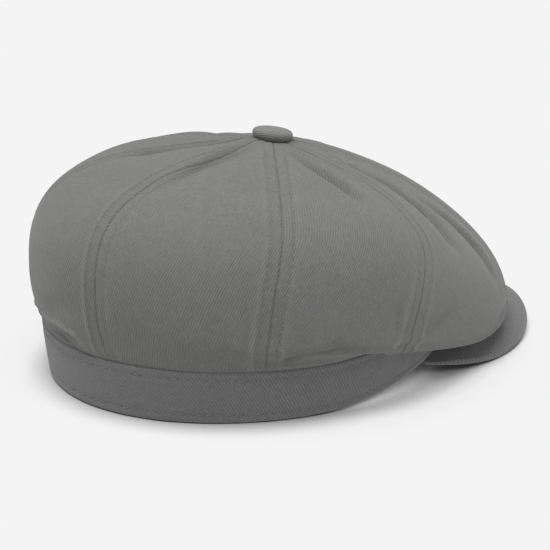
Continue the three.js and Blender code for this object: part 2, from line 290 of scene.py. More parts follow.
    def crown_point(self, down: np.ndarray, angle: np.ndarray) -> np.ndarray:
        """The crown without folds.

        From the middle to the widest line both the reach and the height are cubic Beziers. From
        there to the band the reach closes in on the band's top oval by another, and the height
        droops below its two ends by a fourth.

        Args:
            down: 0 at the middle, 1 at the widest line, 2 at the band.
            angle: degrees from the front.

        Returns:
            The points, as x, y, z.
        """
        down, angle = np.broadcast_arrays(down, angle)
        way = heading(angle)
        foot = self.foot_lift(angle)
        reach = self.ring_reach(angle) + around(self.overhang, angle) * self.crown_overhang
        wide = foot + around(self.rise, angle) * (self.crown_top - foot)
        crest = around(self.crest, angle)
        fall = crest * np.tan(np.radians(around(self.slope, angle))) * reach
        full = wide + around(self.shoulder, angle) * (self.crown_top - wide)
        t = np.clip(down, 0.0, 1.0)
        out = bezier(t, 0.0, crest, 1.0, 1.0) * reach
        height = bezier(t, self.crown_top, self.crown_top - fall, full, wide)
        upper = np.stack([way[..., 0] * out, way[..., 1] * out - self.crown_shift, height], axis=-1)
        t = np.clip(down - 1.0, 0.0, 1.0)
        seat = self.band_point(self.landing(angle), np.ones_like(t), -self.seam_gap)
        seat_height = seat[..., 2] + self.seam_gap
        inward = bezier(t, 0.0, 0.0, 1.0 - around(self.tuck, angle), 1.0)
        edge = way * reach[..., None] - np.array([0.0, self.crown_shift])
        flat = edge + (seat[..., :2] - edge) * inward[..., None]
        low = wide - around(self.droop, angle) * self.crown_droop
        curl = seat_height + around(self.curl, angle) * self.band_height
        fallen = bezier(t, wide, low, curl, seat_height)
        lower = np.concatenate([flat, fallen[..., None]], axis=-1)
        return np.where((down <= 1.0)[..., None], upper, lower)

    def crown_normal(self, down: np.ndarray, angle: np.ndarray) -> np.ndarray:
        """Outward direction of the smooth crown: its step across times its step down."""
        down, angle = np.broadcast_arrays(down, angle)
        step = self.normal_step
        before = self.crown_point(np.maximum(down - step, step), angle)
        along = self.crown_point(np.minimum(down + step, 2.0), angle) - before
        across = self.crown_point(down, angle + 1.0) - self.crown_point(down, angle - 1.0)
        return unit(np.cross(across, along))

    def from_middle(self, points: np.ndarray) -> np.ndarray:
        """Level distance of points from the upright line through the crown's middle."""
        return np.hypot(points[..., 0], points[..., 1] + self.crown_shift)

    def per_degree(self, points: np.ndarray) -> np.ndarray:
        """Length of one degree round the crown at points, in millimetres."""
        return np.radians(1.0) * self.from_middle(points)

    def near_tip(self, radius: float, angle: np.ndarray) -> np.ndarray:
        """Place down the crown of a small radius: the radius over the reach's first slope.

        Args:
            radius: distance from the middle, much smaller than the crown's reach.
            angle: degrees from the front.

        Returns:
            The radius over 3 times the crest times the reach, which is the Bezier's slope at 0.
        """
        reach = self.from_middle(self.crown_point(np.array(1.0), angle))
        return radius / (3.0 * around(self.crest, angle) * reach)

    def towards_end(self, turn: np.ndarray, start: float) -> np.ndarray:
        """How far a turn round the peak's rim has come from the given one to the end, 0 to 1."""
        return np.clip((np.abs(turn) - start) / (90.0 - start), 0.0, None)

    def thick_at(self, turn: np.ndarray) -> np.ndarray:
        """Thickness of the peak: full, and thinner by a soft step towards its two ends."""
        share = smooth(self.towards_end(turn, self.peak_taper))
        return self.peak_thick + (self.peak_end_thick - self.peak_thick) * share

    def rim_point(self, turn: np.ndarray) -> np.ndarray:
        """Middle of the peak's rim.

        The plan is an ellipse, a little fuller than round and swung out between ends and front.
        The height rests low at both sides, with a cosine crest in front and a climb at the ends.

        Args:
            turn: degrees, -90 at the left end, 0 in front and 90 at the right end.

        Returns:
            The points, as x, y, z.
        """
        end = self.oval(self.head_length / 2, self.head_width / 2, np.array(self.peak_temple), 0.0)
        way = np.radians(turn)
        s, c = np.sin(way), np.abs(np.cos(way))
        swing = 1.0 + (self.peak_belly - 1.0) * np.sin(2.0 * np.abs(way))
        front = -(self.head_length / 2 + self.peak_length)
        rest = np.clip(np.abs(turn) / self.peak_rest, 0.0, 1.0)
        crest = self.peak_crest * np.cos(np.pi / 2 * rest) ** self.crest_power
        climb = self.towards_end(turn, self.peak_climb) ** self.climb_power
        rise = self.foot_lift(np.array(self.peak_temple)) - self.seam_gap - self.peak_end_thick
        x = -np.sign(s) * np.abs(s) ** self.rim_fullness * abs(end[0]) * swing
        y = end[1] + (front - end[1]) * c**self.rim_fullness
        return np.stack([x, y, self.thick_at(turn) / 2 + crest + climb * rise], axis=-1)


@dataclass(frozen=True)
class Fold:
    """A fold that runs down the crown from near the button.

    angle and turn are degrees: where it lies, and how far it swings by its end. start and stop are
    its stretch down the crown. wide and deep are shares of the form's widest and deepest fold.
    """

    angle: float
    turn: float
    start: float
    stop: float
    wide: float
    deep: float


FOLDS = (
    Fold(92, -6, 0.04, 0.5, 0.42, 0.4),
    Fold(153, 4, 0.06, 0.55, 0.45, 0.35),
    Fold(190, 6, 0.05, 0.5, 0.45, 0.45),
    Fold(53, 1, 0.12, 0.85, 0.5, 0.5),
    Fold(42, -9, 0.3, 0.98, 0.5, 0.5),
    Fold(97, -16, 1.3, 1.9, 1.1, 0.3),
    Fold(168, 16, 1.1, 1.7, 1.0, 0.4),
    Fold(-96, 7, 0.04, 0.52, 0.42, 0.4),
    Fold(-149, -5, 0.06, 0.55, 0.45, 0.35),
    Fold(-56, -2, 0.12, 0.85, 0.5, 0.5),
    Fold(-38, 6, 0.3, 0.98, 0.5, 0.45),
    Fold(-104, 12, 1.3, 1.9, 1.1, 0.3),
)


@dataclass(frozen=True)
class Crease:
    """A narrow crease laid over the folds, along a line through a few places on the crown.

    path holds (angle, down) pairs. wide is its half width and deep its depth in millimetres, below
    zero for a ridge.
    """

    path: tuple[tuple[float, float], ...]
    wide: float
    deep: float

    def mirrored(self, turn: float, share: float) -> Crease:
        """The same crease on the wearer's other side, turned a little and less deep."""
        path = tuple((turn - angle, down) for angle, down in self.path)
        return Crease(path, self.wide, self.deep * share)


TIP_CREASES = (
    Crease(((95, 0.08), (90, 0.2), (87, 0.35), (86, 0.48)), 3.6, 2.6),
    Crease(((149, 0.08), (155, 0.17), (158, 0.28), (156, 0.48)), 4.6, 1.9),
    Crease(((-168, 0.06), (-166, 0.18), (-162, 0.33)), 2.8, 1.9),
    Crease(((53, 0.15), (51, 0.4), (53, 0.55), (54, 0.7)), 3.6, 3.2),
    Crease(((43, 0.42), (36, 0.57), (34, 0.7), (35, 0.85)), 4.4, 3.0),
)
FOOT_CREASES = (
    Crease(((-174, 1.65), (175, 1.58), (169, 1.62), (165, 1.95)), 1.7, -1.5),
    Crease(((-178, 1.82), (175, 1.78), (170, 1.95)), 2.2, 1.5),
    Crease(((118, 1.95), (112, 1.4), (104, 1.08), (95, 1.16)), 2.8, 1.5),
    Crease(((79, 0.98), (71, 0.95), (62, 0.89)), 3.4, 1.1),
    Crease(((87, 1.0), (86, 0.88)), 2.8, 0.9),
    Crease(((22, 0.92), (34, 0.94), (48, 1.0)), 2.4, -0.7),
    Crease(((45, 0.96), (26, 1.01)), 1.3, 0.35),
    Crease(((52, 1.0), (42, 1.01), (30, 1.04)), 1.3, 0.3),
)
CREASES = (*TIP_CREASES, *FOOT_CREASES, *(crease.mirrored(-4.0, 0.85) for crease in TIP_CREASES),
           *(crease.mirrored(3.0, 0.7) for crease in FOOT_CREASES))


@dataclass(frozen=True)
class ClothGrid:
    """A stretch of the crown's cloth: rows down the crown, columns round it.

    base and normal are the smooth crown. run is the length from the button, to_foot the length left
    to the band and to_seam the distance to the nearest seam, all in millimetres.
    """

    down: np.ndarray
    angle: np.ndarray
    base: np.ndarray
    normal: np.ndarray
    run: np.ndarray
    to_foot: np.ndarray
    to_seam: np.ndarray

    @classmethod
    def lay(cls, form: CapForm, down: np.ndarray, angle: np.ndarray) -> ClothGrid:
        """Measures the smooth crown on a grid.

        Args:
            form: the cap's form.
            down: one value a row, as a column.
            angle: the angle of each point.

        Returns:
            The measured grid.
        """
        down, angle = np.broadcast_arrays(down, angle)
        base = form.crown_point(down, angle)
        before = np.linalg.norm(base[0] - form.crown_point(np.array(0.0), angle[0]), axis=-1)
        after = np.linalg.norm(form.crown_point(np.array(2.0), angle[-1]) - base[-1], axis=-1)
        run = run_length(base) + before
        gaps = np.abs(wrap(angle[..., None] - form.seam_angles(down))).min(axis=-1)
        normal = form.crown_normal(down, angle)
        return cls(down, angle, base, normal, run, run[-1] + after - run, gaps * form.per_degree(base))


def mesh_object(name: str, points: np.ndarray, faces: list, finish: bpy.types.Material,
                flat: np.ndarray | None = None, painted_shading: np.ndarray | None = None) -> bpy.types.Object:
    """Makes a mesh object at the origin from points in millimetres.

    Args:
        name: the object's name.
        points: x, y, z of each vertex, in the frame's axes.
        faces: vertex numbers of each face.
        finish: its material.
        flat: where each vertex lies on the cloth before sewing, in millimetres.
        painted_shading: painted light and shade at each vertex, how much lighter the cloth is made, as a
            share.

    Returns:
        The new object.
    """
    mesh = bpy.data.meshes.new(name)
    mesh.from_pydata(points * MM, [], faces)
    if flat is not None:
        corner = np.zeros(len(mesh.loops), np.int32)
        mesh.loops.foreach_get("vertex_index", corner)
        layer = mesh.uv_layers.new(name=CLOTH_MAP)
        layer.data.foreach_set("uv", (flat[corner] * MM).astype(np.float32).ravel())
    if painted_shading is not None:
        layer = mesh.attributes.new(PAINTED_SHADING, "FLOAT", "POINT")
        layer.data.foreach_set("value", painted_shading.astype(np.float32).ravel())
    mesh.materials.append(finish)
    mesh.shade_smooth()
    mesh.set_sharp_from_angle(angle=math.radians(SHARP_ANGLE))
    mesh.validate()
    piece = bpy.data.objects.new(name, mesh)
    bpy.context.scene.collection.objects.link(piece)
    return piece


def ring_faces(rings: int, count: int, filled: bool) -> np.ndarray:
    """Faces of a skin over rings of points, each ring a closed loop joined to the next.

    Args:
        rings: how many rings.
        count: points in a ring.
        filled: whether both end rings are filled, by strips between their two halves.

    Returns:
        Vertex numbers, four to a face.
    """
    i, j = np.meshgrid(np.arange(rings - 1) * count, np.arange(count), indexing="ij")
    beside = (j + 1) % count
    skin = np.stack([i + j, i + count + j, i + count + beside, i + beside], axis=-1)
    faces = [skin.reshape(-1, 4)]
    if filled:
        near = np.arange(count // 2 - 1)
        far = count - 1 - near
        end = (rings - 1) * count
        faces.append(np.stack([near, near + 1, far - 1, far], axis=-1))
        faces.append(end + np.stack([near, far, far - 1, near + 1], axis=-1))
    return np.concatenate(faces)


def join_doubles(piece: bpy.types.Object) -> None:
    """Joins vertices that lie at one place, so that a ring laid out flat closes without a crack."""
    joined = bmesh.new()
    joined.from_mesh(piece.data)
    bmesh.ops.remove_doubles(joined, verts=joined.verts, dist=JOIN_GAP * MM)
    joined.to_mesh(piece.data)
    joined.free()


class WaveField:
    """Soft unevenness of cloth: a sum of sine waves in fixed random directions."""

    length_spread = (0.7, 1.6)

    def __init__(self, seed: int, length: float, count: int = 14) -> None:
        """Draws the waves.

        Args:
            seed: fixes the draw.
            length: mean length of a wave, in millimetres.
            count: how many waves.
        """
        draw = np.random.default_rng(seed)
        way = unit(draw.normal(size=(count, 3)))
        self.waves = way * (2.0 * np.pi / (length * draw.uniform(*self.length_spread, (count, 1))))
        self.phase = draw.uniform(0.0, 2.0 * np.pi, count)

    def at(self, points: np.ndarray) -> np.ndarray:
        """Height of the field, about -1 to 1: the mean of sin(wave . point + phase), scaled up."""
        return np.sin(points @ self.waves.T + self.phase).sum(axis=-1) / math.sqrt(len(self.phase))


def linear(code: str) -> tuple[float, float, float, float]:
    """An sRGB hex colour as linear red, green, blue and alpha."""
    parts = np.array([int(code[i:i + 2], 16) for i in (1, 3, 5)]) / 255.0
    values = np.where(parts <= 0.04045, parts / 12.92, ((parts + 0.055) / 1.055) ** 2.4)
    return (*values.tolist(), 1.0)


def add_node(tree: bpy.types.NodeTree, kind: str, inputs: dict | None = None,
             **settings: object) -> bpy.types.Node:
    """Adds one shader node.

    Args:
        tree: the material's nodes.
        kind: the node's type, after ShaderNode.
        inputs: a value or a socket to link, by input name or number.
        **settings: the node's own settings.

    Returns:
        The new node.
    """
    node = tree.nodes.new("ShaderNode" + kind)
    for name, value in settings.items():
        setattr(node, name, value)
    for key, value in (inputs or {}).items():
        if isinstance(value, bpy.types.NodeSocket):
            tree.links.new(value, node.inputs[key])
        else:
            node.inputs[key].default_value = value
    return node


def start_material(name: str) -> tuple[bpy.types.Material, bpy.types.NodeTree]:
    """A new material and its emptied node tree."""
    made = bpy.data.materials.new(name)
    made.use_nodes = True
    made.node_tree.nodes.clear()
    return made, made.node_tree


def dye(tree: bpy.types.NodeTree, colour: str, shade: bpy.types.NodeSocket) -> bpy.types.NodeSocket:
    """Makes a colour lighter or darker all over its surface.

    Args:
        tree: the material's nodes.
        colour: an sRGB hex colour.
        shade: how light each place is, around 1.

    Returns:
        The socket of the colour times the shade.
    """
    dyed = add_node(tree, "VectorMath", {0: linear(colour)[:3], "Scale": shade}, operation="SCALE")
    return dyed.outputs[0]


def finish_of(kind: CottonTwill | PlainFinish) -> bpy.types.Material:
    """The material of a finish, built the first time that it is asked for."""
    return bpy.data.materials.get(kind.name) or kind.material()


@dataclass(frozen=True)
class CottonTwill:
    """Brushed cotton twill: fine slanting ribs with a dry, matt face and a little surface fuzz.

    The eye gets faint slanting lines, slightly lighter ribs and soft clouding from the dye. The ribs
    are drawn 1.15 mm apart on the crown, 1.3 on the band and 1.9 on the peak, as coarse as they need
    to be to show in a picture with only two pixels to a millimetre. rib_turn is how far they lean from
    the piece's own length, in degrees. Sizes are millimetres and contrasts are shares.
    """

    name: str
    colour: str = "#7b7b7a"
    rib_turn: float = 18.0
    rib_pitch: float = 1.15
    rib_contrast: float = 0.18
    yarn_contrast: float = 0.26
    mottle_contrast: float = 0.12
    cloud_contrast: float = 0.06
    sway_length: float = 9.0
    sway_share: float = 0.3
    knot_spacing: float = 1.9
    knot_share: float = 0.2
    streak_width: float = 0.6
    streak_length: float = 2.4
    mottle_size: float = 5.0
    cloud_size: float = 38.0
    yarn_height: float = 1.2
    bump: float = 0.07
    roughness: float = 0.93
    fuzz: float = 0.22

    def material(self) -> bpy.types.Material:
        """Builds the material: ribs across the cloth map, yarn streaks along them, and clouds."""
        made, tree = start_material(self.name)
        place = add_node(tree, "UVMap", uv_map=CLOTH_MAP)
        turned = add_node(tree, "Mapping", {
            "Vector": place.outputs[0],
            "Rotation": (0.0, 0.0, math.radians(self.rib_turn)),
        })
        axes = add_node(tree, "SeparateXYZ", {0: turned.outputs[0]})
        sway = add_node(tree, "TexNoise", {
            "Vector": turned.outputs[0], "Scale": 1.0 / (self.sway_length * MM), "Detail": 1.0,
        })
        swayed = add_node(tree, "Math", {
            0: sway.outputs["Fac"], 1: self.sway_share * self.rib_pitch * MM, 2: axes.outputs[0],
        }, operation="MULTIPLY_ADD")
        phase = add_node(tree, "Math", {
            0: swayed.outputs[0], 1: 2.0 * math.pi / (self.rib_pitch * MM),
        }, operation="MULTIPLY")
        rib = add_node(tree, "Math", {0: phase.outputs[0]}, operation="SINE")
        twist = add_node(tree, "Math", {
            0: axes.outputs[1], 1: 2.0 * math.pi / (self.knot_spacing * self.rib_pitch * MM),
            2: phase.outputs[0],
        }, operation="MULTIPLY_ADD")
        knot = add_node(tree, "Math", {0: twist.outputs[0]}, operation="SINE")
        weave = add_node(tree, "Math", {
            0: knot.outputs[0], 1: self.knot_share, 2: rib.outputs[0],
        }, operation="MULTIPLY_ADD")
        stretched = add_node(tree, "Mapping", {
            "Vector": turned.outputs[0],
            "Scale": (1.0 / (self.streak_width * MM), 1.0 / (self.streak_length * MM), 1.0),
        })
        yarn = add_node(tree, "TexNoise", {"Vector": stretched.outputs[0], "Scale": 1.0, "Detail": 2.0})
        spot = add_node(tree, "TexCoord")
        cloud = add_node(tree, "TexNoise", {
            "Vector": spot.outputs["Object"], "Scale": 1.0 / (self.cloud_size * MM), "Detail": 3.0,
        })
        mottle = add_node(tree, "TexNoise", {
            "Vector": spot.outputs["Object"], "Scale": 1.0 / (self.mottle_size * MM), "Detail": 4.0,
            "Roughness": 0.6,
        })
        shade = add_node(tree, "Math", {
            0: weave.outputs[0], 1: self.rib_contrast / 2.0, 2: 1.0,
        }, operation="MULTIPLY_ADD")
        layers = (
            (yarn, self.yarn_contrast), (mottle, self.mottle_contrast), (cloud, self.cloud_contrast),
        )
        for source, contrast in layers:
            middle = add_node(tree, "Math", {0: source.outputs["Fac"], 1: 0.5}, operation="SUBTRACT")
            shade = add_node(tree, "Math", {
                0: middle.outputs[0], 1: 2.0 * contrast, 2: shade.outputs[0],
            }, operation="MULTIPLY_ADD")
        # Painted light and shade from the mesh attribute that only the crown's panels carry: lighter on
        # ridges, darker in creases and seam grooves.
        painted_shading_node = add_node(tree, "Attribute", attribute_name=PAINTED_SHADING)
        shade = add_node(tree, "Math", {0: shade.outputs[0], 1: painted_shading_node.outputs["Fac"]}, operation="ADD")
        height = add_node(tree, "Math", {
            0: yarn.outputs["Fac"], 1: self.yarn_height, 2: weave.outputs[0],
        }, operation="MULTIPLY_ADD")
        relief = add_node(tree, "Bump", {
            "Height": height.outputs[0], "Strength": 1.0, "Distance": self.bump * MM,
        })
        face = add_node(tree, "BsdfPrincipled", {
            "Base Color": dye(tree, self.colour, shade.outputs[0]),
            "Normal": relief.outputs[0],
            "Roughness": self.roughness,
            "IOR": 1.46,
            "Specular IOR Level": 0.25,
            "Sheen Weight": self.fuzz,
            "Sheen Roughness": 0.5,
        })
        add_node(tree, "OutputMaterial", {"Surface": face.outputs[0]})
        return made


@dataclass(frozen=True)
class PlainFinish:
    """What the small plain finishes share: one colour with a fine noise over it.

    grain is the noise's size in millimetres, and the colour is least to least + spread as light.
    """

    name: str
    colour: str
    grain: float
    detail: float
    least: float
    spread: float
    roughness: float
    fuzz: float

    def material(self) -> bpy.types.Material:
        """Builds the material: a fine noise that makes the colour lighter and darker."""
        made, tree = start_material(self.name)
        spot = add_node(tree, "TexCoord")
        noise = add_node(tree, "TexNoise", {
            "Vector": spot.outputs["Object"], "Scale": 1.0 / (self.grain * MM), "Detail": self.detail,
        })
        shade = add_node(tree, "Math", {
            0: noise.outputs["Fac"], 1: self.spread, 2: self.least,
        }, operation="MULTIPLY_ADD")
        face = add_node(tree, "BsdfPrincipled", {
            "Base Color": dye(tree, self.colour, shade.outputs[0]),
            "Roughness": self.roughness,
            "Sheen Weight": self.fuzz,
        })
        add_node(tree, "OutputMaterial", {"Surface": face.outputs[0]})
        return made


@dataclass(frozen=True)
class SpunThread(PlainFinish):
    """Spun polyester sewing thread, dyed to the cloth: a soft low gloss, its grain the twisted plies."""

    name: str = "spun_thread"
    colour: str = "#7c7c7a"
    grain: float = 0.9
    detail: float = 1.0
    least: float = 0.8
    spread: float = 0.4
    roughness: float = 0.6
    fuzz: float = 0.2


@dataclass(frozen=True)
class NeedleHole(PlainFinish):
    """The hole that a needle leaves in the cloth: a dull disc, darker than the cloth round it, as painted
    shade in the hole.
    """

    name: str = "needle_hole"
    # Painted shade: a dark disc where the needle's hole sinks into the cloth.
    colour: str = "#585858"
    grain: float = 1.0
    detail: float = 2.0
    least: float = 0.7
    spread: float = 0.6
    roughness: float = 1.0
    fuzz: float = 0.0


@dataclass(frozen=True)
class Place:
    """Where the cap's own middle stands in the frame, in millimetres."""

    middle_y: float

    @classmethod
    def from_frame(cls) -> Place:
        """Takes the middle of the head band's box."""
        low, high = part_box("band")
        return cls((low.y + high.y) / 2.0 / MM)

    def __call__(self, points: np.ndarray) -> np.ndarray:
        """Moves points from the cap's middle to the frame, as one long list."""
        return points.reshape(-1, 3) + np.array([0.0, self.middle_y, 0.0])


class StitchKind(Enum):
    """Length of thread that shows, pitch from hole to hole, and the thread's thickness, in mm."""

    PANEL = (2.4, 3.4, 0.28)
    BAND = (3.2, 4.3, 0.42)


@dataclass(frozen=True)
class StitchRow:
    """A row of lockstitch on the cloth: short threads that dive into a needle hole at each end."""

    kind: StitchKind
    stations: int = 6
    sides: int = 6
    hole_sides: int = 8
    sink: float = 0.3
    blunt: float = 0.12
    float_share: float = 0.25
    hole_share: float = 0.7
    hole_stretch: float = 1.2
    hole_lift: float = 0.04
    look_ahead: float = 0.2

    def build(self, path: np.ndarray, out: np.ndarray) -> tuple[np.ndarray, list, list]:
        """Makes the threads and holes along a line.

        A thread is a tube whose radius follows the root of 1 - x^4 and whose middle line sinks by
        x^4 towards its ends, with x from -1 to 1 along it. A hole is a flat disc, painted dark as the
        shade in the needle's hole.

        Args:
            path: points along the cloth's face.
            out: the cloth's outward direction at each.

        Returns:
            All vertices, the faces of the threads and the faces of the holes.
        """
        shows, pitch, thick = self.kind.value
        run = run_length(path)
        count = int(run[-1] // pitch)
        middles = (np.arange(count) + 0.5) * pitch
        x = np.linspace(-1.0, 1.0, self.stations)
        at = middles[:, None] + x * shows / 2.0
        line = self._sample(at, run, path)
        rise = unit(self._sample(at, run, out))
        ahead = unit(np.gradient(line, axis=1))
        side = unit(np.cross(ahead, rise))
        radius = thick / 2.0 * (np.sqrt(np.clip(1.0 - x**4, 0.0, 1.0)) + self.blunt)
        line = line + rise * (thick * self.float_share - self.sink * x**4)[None, :, None]
        turn = np.linspace(0.0, 2.0 * np.pi, self.sides, endpoint=False)
        ring = side[:, :, None] * np.cos(turn)[:, None] + rise[:, :, None] * np.sin(turn)[:, None]
        tubes = (line[:, :, None] + ring * radius[None, :, None, None]).reshape(count, -1, 3)
        skin = ring_faces(self.stations, self.sides, False)
        ends = np.array([range(self.sides), range(self.sides)])
        ends[1] = ends[1][::-1] + (self.stations - 1) * self.sides
        starts = np.arange(count)[:, None, None] * tubes.shape[1]
        threads = (starts + skin).reshape(-1, 4).tolist()
        threads += (starts + ends).reshape(-1, self.sides).tolist()
        spots = np.arange(1, count) * pitch
        centre = self._sample(spots, run, path)
        rise = unit(self._sample(spots, run, out))
        ahead = unit(self._sample(spots + self.look_ahead, run, path) - centre)
        side = np.cross(ahead, rise)
        turn = np.linspace(0.0, 2.0 * np.pi, self.hole_sides, endpoint=False)
        disc = side[:, None] * np.cos(turn)[:, None]
        disc = disc + ahead[:, None] * np.sin(turn)[:, None] * self.hole_stretch
        holes = centre[:, None] + disc * thick * self.hole_share + rise[:, None] * self.hole_lift
        dots = tubes.size // 3 + np.arange(holes.shape[0] * self.hole_sides)
        dots = dots.reshape(-1, self.hole_sides).tolist()
        return np.concatenate([tubes.reshape(-1, 3), holes.reshape(-1, 3)]), threads, dots

    @staticmethod
    def _sample(at: np.ndarray, run: np.ndarray, values: np.ndarray) -> np.ndarray:
        """Values at distances along a line, each coordinate read off in proportion."""
        return np.stack([np.interp(at, run, values[:, k]) for k in range(3)], axis=-1)


@dataclass(frozen=True)
class Stitching:
    """Joins rows of stitches into one piece."""

    thread: SpunThread = SpunThread()
    hole: NeedleHole = NeedleHole()

    def build(self, name: str, rows: list[tuple[np.ndarray, list, list]], slot: str) -> None:
        """Makes one object of several rows, with the holes in their own material.

        Args:
            name: the piece's name.
            rows: vertices, thread faces and hole faces of each row.
            slot: the record's finish that the cloth under it takes; not used.
        """
        threads, holes, points, start = [], [], [], 0
        for vertices, tubes, dots in rows:
            threads += [[start + v for v in face] for face in tubes]
            holes += [[start + v for v in face] for face in dots]
            points.append(vertices)
            start += len(vertices)
        piece = mesh_object(name, np.concatenate(points), threads + holes, finish_of(self.thread))
        piece.data.materials.append(finish_of(self.hole))
        kinds = np.repeat([0, 1], [len(threads), len(holes)]).astype(np.int32)
        piece.data.polygons.foreach_set("material_index", kinds)
        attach(piece, BODY)
        LOG.info("%s: %d threads and holes", name, len(threads) + len(holes))


@dataclass
class Crown:
    """Eight wedge panels sewn edge to edge, with their folds, creases and topstitching."""

    form: CapForm
    place: Place
    rows: int = 132
    columns: int = 96
    allowance: float = 6.2
    row_inset: float = 5.2
    seat_length: float = 1.8
    seat_in: float = 1.0
    seat_down: float = 0.5
    crest_spacing: float = 1.1
    tuck_crowding: float = 0.12
    seam_crowding: float = 0.14
    squaring: int = 4
    row_start: float = 0.12
    row_stop: float = 1.97
    row_steps: int = 150
    crease_steps: int = 36
    crease_fade: float = 0.8
    tip_fade: float = 14.0
    foot_calm: float = 1.0
    foot_fade: float = 9.0
    seam_line: Bell = Bell(-0.5, 0.45)
    seam_roll: Bell = Bell(-0.04, 1.6)
    seam_pucker: Bell = Bell(0.16, 7.0)
    stitch_groove: Bell = Bell(-0.16, 0.9)
    allowance_height: float = 0.3
    allowance_spill: float = 0.8
    allowance_slope: float = 1.8
    allowance_edge: Bell = Bell(1.0, 1.2)
    allowance_growth: Growth = Growth(0.28, 0.6, 60.0)
    hem_middle: float = 4.5
    hem_roll: Bell = Bell(0.15, 3.2)
    unevenness: float = 0.3
    uneven_spill: float = 6.0
    uneven_fade: float = 30.0
    # Painted highlight along the raised edge of each seam allowance, growing towards the band, and how far
    # painted marks sit off their lines.
    painted_mark_shift: float = 0.6
    painted_edge_highlight: Bell = Bell(0.13, 1.5)
    painted_highlight_growth: Growth = Growth(0.35, 0.65, 70.0)
    # Painted shade in the seam's groove and in the groove under its topstitching.
    painted_seam_shade: Bell = Bell(0.13, 0.6)
    painted_row_shade: Bell = Bell(0.065, 1.1)
    # Painted shade in the creases and painted highlight on the ridges beside them, as shares per
    # millimetre of depth.
    painted_crease_shade: float = 0.085
    painted_ridge_highlight: float = 0.16
    twill: CottonTwill = CottonTwill("crown_cotton_twill")
    stitching: Stitching = Stitching()
    broad: WaveField = field(default_factory=lambda: WaveField(11, 46.0))
    fine: WaveField = field(default_factory=lambda: WaveField(12, 17.0))

    def fold_depth(self, grid: ClothGrid) -> np.ndarray:
        """How far the folds draw the cloth in.

        A fold is a sine squared along its stretch times a bell curve across it. The seams add a
        wide shallow bell of their own, which fades out at the button and before the band.

        Args:
            grid: the stretch of cloth.

        Returns:
            The depth at each point.
        """
        form = self.form
        out = form.per_degree(grid.base)
        depth = np.zeros_like(out)
        for fold in FOLDS:
            share = np.clip((grid.down - fold.start) / (fold.stop - fold.start), 0.0, 1.0)
            swell = np.sin(np.pi * share) ** 2
            offset = wrap(grid.angle - fold.angle - fold.turn * share) * out
            bell = np.exp(-((offset / (fold.wide * form.fold_spread)) ** 2))
            depth += form.fold_depth * fold.deep * swell * bell
        start, stop = form.dip_fade
        fade = smooth(grid.down / form.dip_start) * smooth((stop - grid.down) / (stop - start))
        offset = wrap(grid.angle[..., None] - form.seam_angles(grid.down)) * out[..., None]
        depth += form.seam_dip * fade * np.exp(-((offset / form.seam_dip_width) ** 2)).sum(axis=-1)
        return depth

    def crease_depth(self, grid: ClothGrid) -> np.ndarray:
        """How far the creases draw the cloth in.

        Across a crease the depth is a bell curve times 1 - q^2 / 2, with q the distance over its
        half width, so that the cloth lifts a little beside it. It fades in and out at its ends.

        Args:
            grid: the stretch of cloth.

        Returns:
            The depth at each point.
        """
        depth = np.zeros(grid.base.shape[:2])
        for crease in CREASES:
            knots = np.array(crease.path, float)
            knots[:, 0] = np.degrees(np.unwrap(np.radians(knots[:, 0])))
            share = np.linspace(0.0, 1.0, self.crease_steps)
            at = np.linspace(0.0, 1.0, len(knots))
            angle = np.interp(share, at, knots[:, 0])
            down = np.interp(share, at, knots[:, 1])
            line = self.form.crown_point(down, angle)
            gap = np.linalg.norm(grid.base[:, :, None] - line, axis=-1)
            near = gap.argmin(axis=-1)
            q = gap.min(axis=-1) / crease.wide
            ends = np.sin(np.pi * share)[near] ** self.crease_fade
            depth += crease.deep * ends * np.exp(-(q**2)) * (1.0 - q**2 / 2.0)
        return depth

    def relief(self, grid: ClothGrid) -> np.ndarray:
        """Fine shape of the sewn cloth, outward in millimetres.

        It is the sum of a rolled edge at each seam, the raised seam allowance beside it with a
        groove under its topstitching and a ridge at its edge that grows towards the band, small
        puckers along the seam, a slight roll over the band and a soft unevenness all over.

        Args:
            grid: the stretch of cloth.

        Returns:
            The height at each point.
        """
        seam = grid.to_seam
        foot = grid.to_foot
        fade = smooth(grid.run / self.tip_fade) * smooth((foot - self.foot_calm) / self.foot_fade)
        roll = self.seam_line.at(seam) + self.seam_roll.at(seam)
        past = self.allowance + self.allowance_spill - seam
        raised = self.allowance_height * smooth(past / self.allowance_slope)
        groove = self.stitch_groove.at(seam - self.row_inset)
        ridge = self.allowance_growth.at(foot) * self.allowance_edge.at(seam - self.allowance)
        pucker = self.fine.at(grid.base) * self.seam_pucker.at(seam)
        hem = self.hem_roll.at(foot - self.hem_middle)
        rough = smooth((foot + self.uneven_spill) / self.uneven_fade)
        uneven = self.unevenness * self.broad.at(grid.base) * rough
        return (roll + raised + groove + ridge + pucker) * fade + hem + uneven

    def painted_shading(self, grid: ClothGrid, creases: np.ndarray) -> np.ndarray:
        """Painted light and shade on the cloth: lighter on ridges, darker in creases and seam grooves.

        It is the sum of a painted highlight along the edge of each seam allowance, painted shade in the
        seam's groove and along its topstitching, and a share of the creases' depth as painted shade, with
        painted highlights on the ridges beside them.

        Args:
            grid: the stretch of cloth.
            creases: how deep the creases are.

        Returns:
            How much lighter each point is, as a share.
        """
        seam = grid.to_seam
        edge = self.painted_edge_highlight.at(seam - self.allowance - self.painted_mark_shift)
        edge = self.painted_highlight_growth.at(grid.to_foot) * edge
        dark = self.painted_seam_shade.at(seam) + self.painted_row_shade.at(seam - self.row_inset + self.painted_mark_shift)
        return edge - dark - np.where(creases > 0.0, self.painted_crease_shade, self.painted_ridge_highlight) * creases

